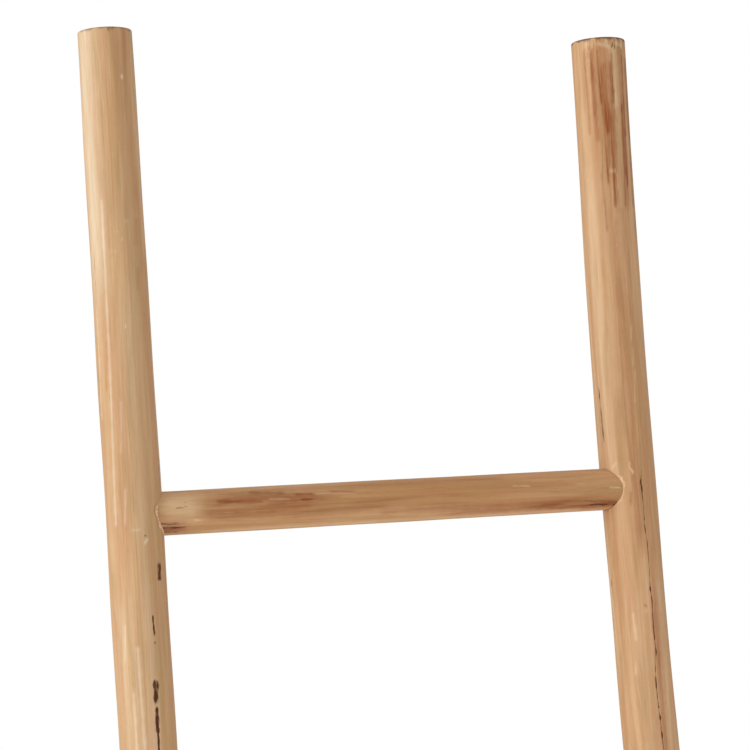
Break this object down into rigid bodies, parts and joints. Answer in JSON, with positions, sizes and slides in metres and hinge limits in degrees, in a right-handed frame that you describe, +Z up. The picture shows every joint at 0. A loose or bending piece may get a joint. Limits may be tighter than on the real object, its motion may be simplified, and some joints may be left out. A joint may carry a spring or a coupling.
{
  "type": "leaning quilt ladder",
  "caption": "Leaning rack of two round wooden poles joined by round rungs, on which quilts, blankets or towels are hung; its feet stand on the floor and its top rests on a wall.",
  "frame": {"origin": "on the floor, at the middle of the bounding box of the ladder as it leans", "axes": "+Z up; +Y back, towards the wall that the ladder leans on; +X to the right as seen from the front"},
  "size_m": [0.5107, 0.345, 1.782],
  "materials": {
    "teak_left_rail": "turned and sanded, unvarnished, pale",
    "teak_right_rail": "turned and sanded, unvarnished, redder",
    "teak_rungs": "turned and sanded, unvarnished, darker",
    "steel_screws": "zinc plated"
  },
  "bodies": {
    "root": {"left_rail": "teak_left_rail", "right_rail": "teak_right_rail", "rung_1": "teak_rungs", "rung_2": "teak_rungs", "rung_3": "teak_rungs", "rung_4": "teak_rungs", "left_screw_1": "steel_screws", "left_screw_2": "steel_screws", "left_screw_3": "steel_screws", "left_screw_4": "steel_screws", "right_screw_1": "steel_screws", "right_screw_2": "steel_screws", "right_screw_3": "steel_screws", "right_screw_4": "steel_screws"}
  },
  "joints": []
}
